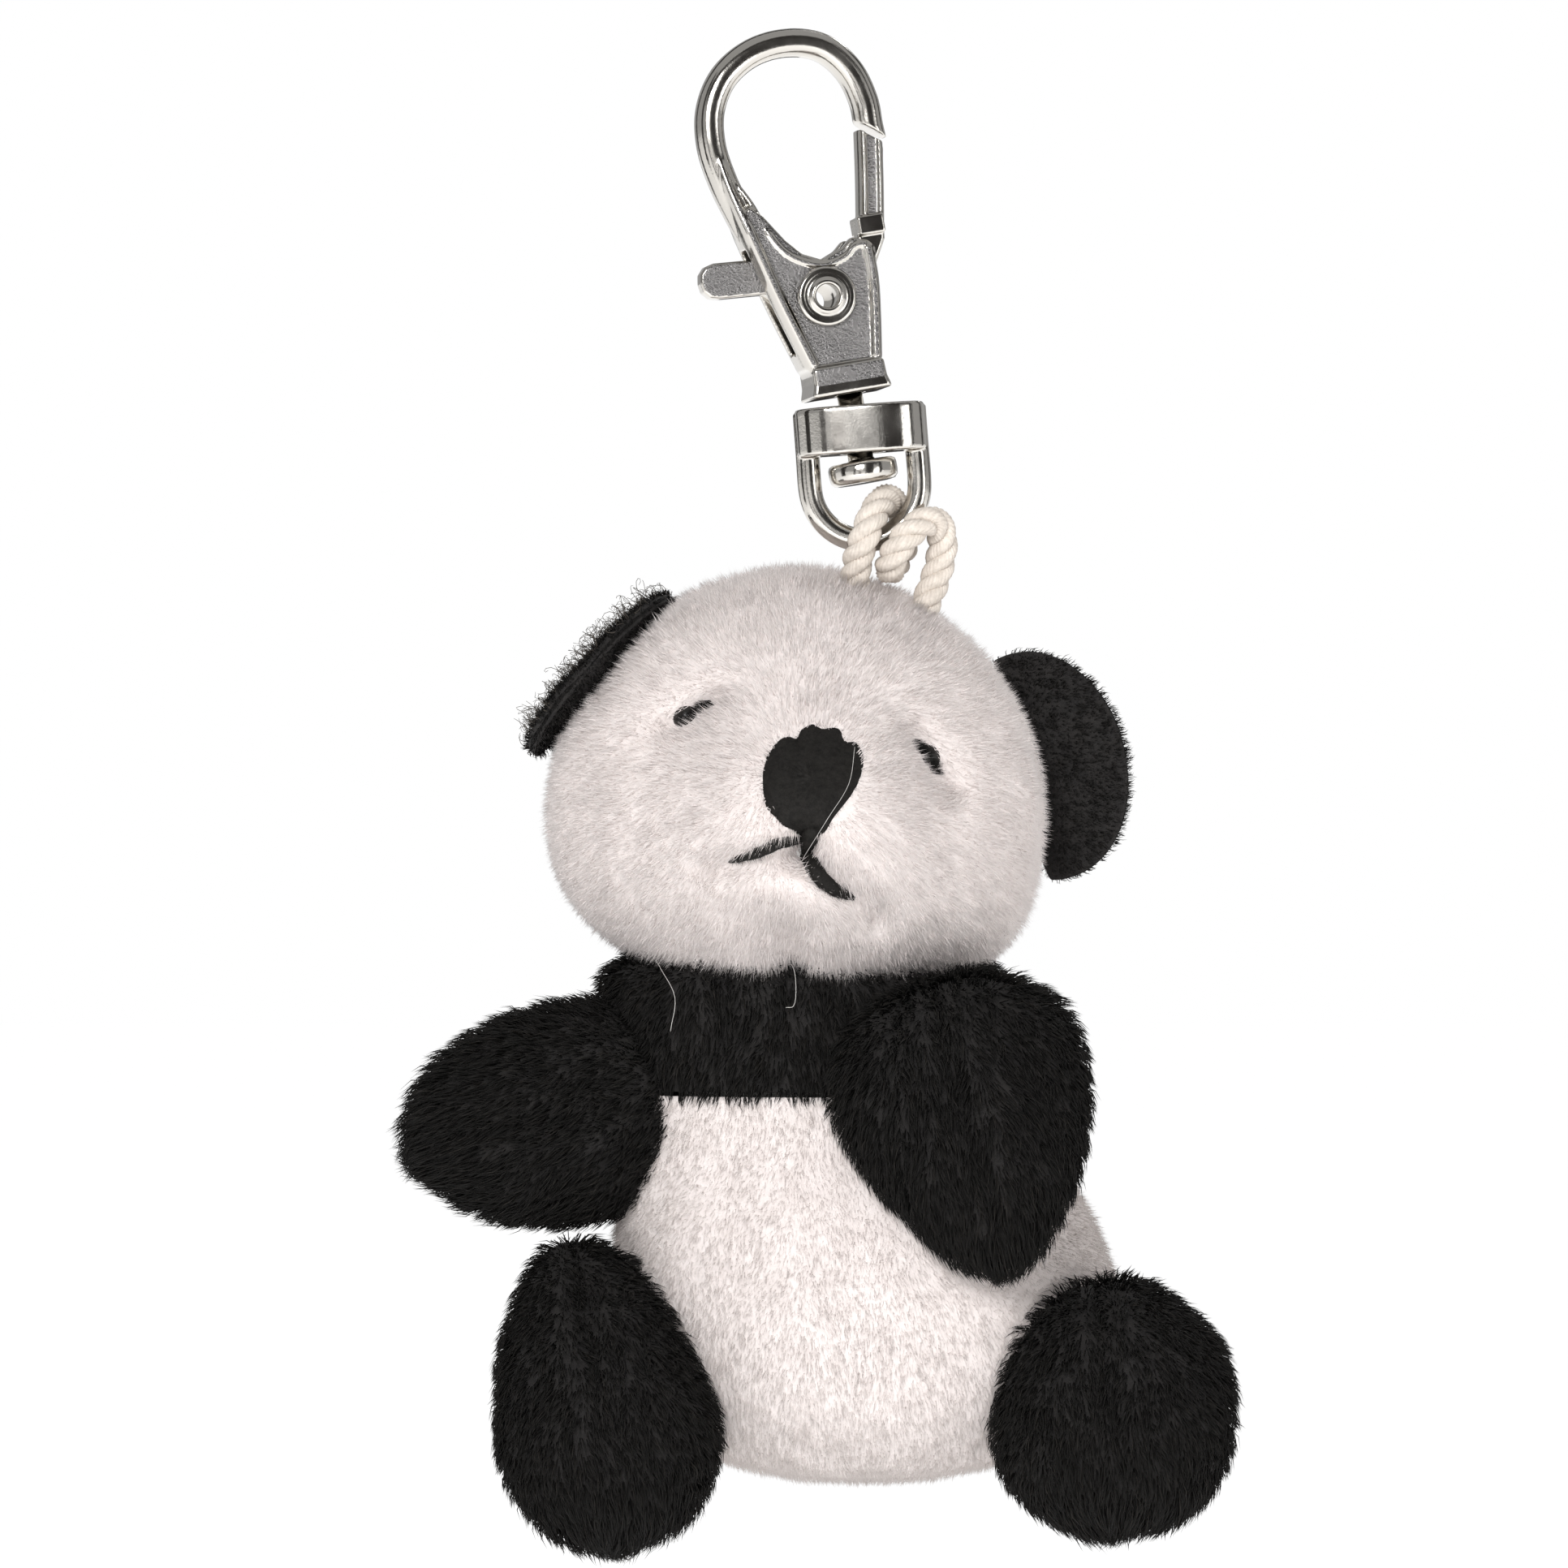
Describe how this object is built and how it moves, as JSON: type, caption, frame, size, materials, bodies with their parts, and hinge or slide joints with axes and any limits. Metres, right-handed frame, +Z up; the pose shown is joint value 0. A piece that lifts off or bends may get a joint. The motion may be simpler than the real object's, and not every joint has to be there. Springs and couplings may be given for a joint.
{
  "type": "plush keychain",
  "caption": "Small stuffed panda bear on a short cord loop, hung from a swivel lobster clasp with a sprung gate, for keys or a bag.",
  "frame": {"origin": "top of the clasp's eye, on the underside of the hook's crown, where a ring bears on it", "axes": "+Z up as the keychain hangs, -Y towards the bear's front, +X to the right as seen from the front"},
  "size_m": [0.0547, 0.0306, 0.1005],
  "materials": {
    "nickel_plate": "bright nickel plate, fine cast grain on the flat faces",
    "spring_steel": "plain wire",
    "cream_cord": "twisted cord, off white",
    "white_plush": "short dense white pile",
    "black_plush": "longer combed black pile",
    "polyester_fill": "loose fibre filling",
    "black_yarn": "stranded yarn, satin stitch",
    "black_bead": "polished bead"
  },
  "bodies": {
    "clasp": {"hook_body": "nickel_plate", "pivot_rivet": "nickel_plate", "gate_spring": "spring_steel", "swivel_stud": "nickel_plate"},
    "gate": {"gate_lever": "nickel_plate"},
    "ring": {"swivel_ring": "nickel_plate"},
    "loop": {"cord_loop": "cream_cord"},
    "plush": {"head_front": "white_plush", "head_back": "white_plush", "head_stuffing": "polyester_fill", "eye_left": "black_bead", "eye_right": "black_bead", "nose_stitching": "black_yarn", "mouth_stitch_middle": "black_yarn", "mouth_stitch_left": "black_yarn", "mouth_stitch_right": "black_yarn", "shoulder_yoke": "black_plush", "belly_panel": "white_plush", "back_panel": "white_plush", "torso_stuffing": "polyester_fill"},
    "ear_left": {"ear_left_front": "black_plush", "ear_left_back": "black_plush"},
    "ear_right": {"ear_right_front": "black_plush", "ear_right_back": "black_plush"},
    "arm_left": {"arm_left_skin": "black_plush", "arm_left_stuffing": "polyester_fill"},
    "arm_right": {"arm_right_skin": "black_plush", "arm_right_stuffing": "polyester_fill"},
    "leg_left": {"leg_left_skin": "black_plush", "leg_left_stuffing": "polyester_fill"},
    "leg_right": {"leg_right_skin": "black_plush", "leg_right_stuffing": "polyester_fill"}
  },
  "joints": [
    {"name": "gate_hinge", "type": "hinge", "parent": "clasp", "child": "gate", "pos_m": [0.00218, -0.00014, -0.01603], "axis": [0.2048, -0.9781, 0.0361], "range_deg": [0, 26], "stiffness_Nm_per_rad": 0.002, "springref_deg": -20.05},
    {"name": "clasp_swivel", "type": "hinge", "parent": "clasp", "child": "ring", "pos_m": [0.00427, 0.00004, -0.02311], "axis": [-0.1736, 0, 0.9848], "continuous": true},
    {"name": "loop_slide", "type": "hinge", "parent": "ring", "child": "loop", "pos_m": [0.00516, 0, -0.02844], "axis": [0, -1, 0], "range_deg": [-25, 8]},
    {"name": "plush_swing", "type": "hinge", "parent": "loop", "child": "plush", "pos_m": [0.00781, 0, -0.03109], "axis": [1, 0, 0], "range_deg": [-30, 30], "deforming": ["cord_loop"]},
    {"name": "arm_left_flex", "type": "hinge", "parent": "plush", "child": "arm_left", "pos_m": [-0.0085, 0, -0.0685], "axis": [0, 0, 1], "range_deg": [-10, 25], "stiffness_Nm_per_rad": 0.001},
    {"name": "arm_right_flex", "type": "hinge", "parent": "plush", "child": "arm_right", "pos_m": [0.0145, -0.003, -0.0655], "axis": [-1, 0, 0], "range_deg": [-4, 30], "stiffness_Nm_per_rad": 0.001},
    {"name": "leg_left_flex", "type": "hinge", "parent": "plush", "child": "leg_left", "pos_m": [-0.008, 0.001, -0.085], "axis": [-1, 0, 0], "range_deg": [-8, 15], "stiffness_Nm_per_rad": 0.0015},
    {"name": "leg_right_flex", "type": "hinge", "parent": "plush", "child": "leg_right", "pos_m": [0.017, 0.001, -0.085], "axis": [-1, 0, 0], "range_deg": [-8, 15], "stiffness_Nm_per_rad": 0.0015},
    {"name": "ear_left_fold", "type": "hinge", "parent": "plush", "child": "ear_left", "pos_m": [-0.0122, 0.0026, -0.0412], "axis": [0.6712, 0, 0.7413], "range_deg": [-20, 10], "stiffness_Nm_per_rad": 0.0002},
    {"name": "ear_right_fold", "type": "hinge", "parent": "plush", "child": "ear_right", "pos_m": [0.017, 0.0068, -0.0471], "axis": [0.2496, 0, -0.9684], "range_deg": [-15, 20], "stiffness_Nm_per_rad": 0.0002}
  ]
}
